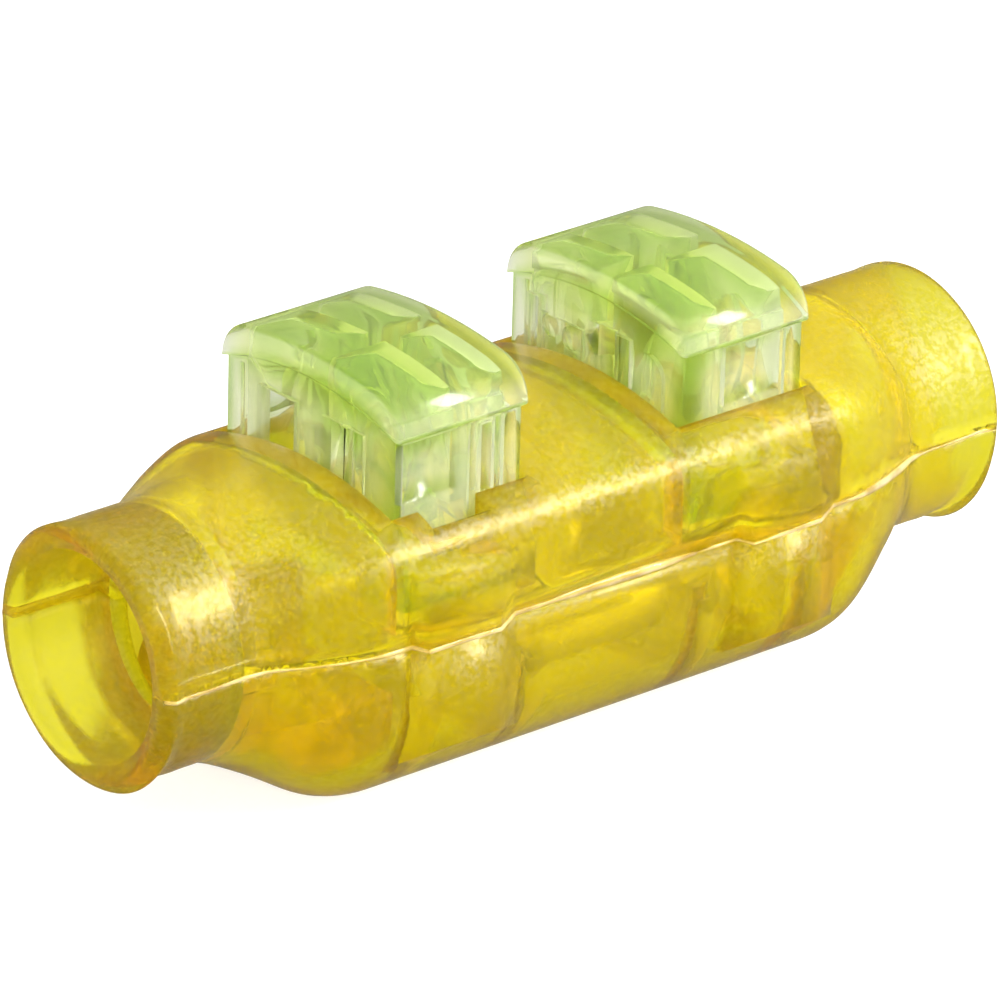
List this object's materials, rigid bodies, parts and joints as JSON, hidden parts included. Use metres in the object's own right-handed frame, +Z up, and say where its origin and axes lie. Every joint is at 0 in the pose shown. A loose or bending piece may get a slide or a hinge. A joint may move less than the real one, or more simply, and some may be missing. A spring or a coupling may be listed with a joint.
{
  "type": "in-line insulation-displacement splice connector",
  "caption": "Amber see-through in-line splice housing with a round cable entry at each end and green-clear press caps that seat the conductors.",
  "frame": {"origin": "middle of the flat underside, halfway between the two end faces and straight below the common axis of the cable entries", "axes": "+X along the connector towards the right entry, +Z up through the press caps, -Y the front side"},
  "size_m": [0.0638, 0.023, 0.0259],
  "materials": {
    "housing_amber": "see-through amber polycarbonate, finely frosted skin",
    "cap_green_clear": "clear polycarbonate with a yellow-green tint, glossy",
    "block_clear": "clear moulded polycarbonate",
    "contact_metal": "tin-plated bronze sheet, satin",
    "gel": "soft clear sealing gel"
  },
  "bodies": {
    "housing": {"housing_upper": "housing_amber", "housing_lower": "housing_amber", "contact_block_left": "block_clear", "contact_block_right": "block_clear", "contact_strip_front": "contact_metal", "contact_strip_rear": "contact_metal", "entry_guide_left": "housing_amber", "entry_guide_right": "housing_amber", "sealing_gel": "gel"},
    "left_cap": {"press_cap_left": "cap_green_clear"},
    "right_cap": {"press_cap_right": "cap_green_clear"}
  },
  "joints": [
    {"name": "left_cap_press", "type": "slide", "parent": "housing", "child": "left_cap", "axis": [0, 0, -1], "range_m": [0, 0.0047]},
    {"name": "right_cap_press", "type": "slide", "parent": "housing", "child": "right_cap", "axis": [0, 0, -1], "range_m": [0, 0.00435]}
  ]
}
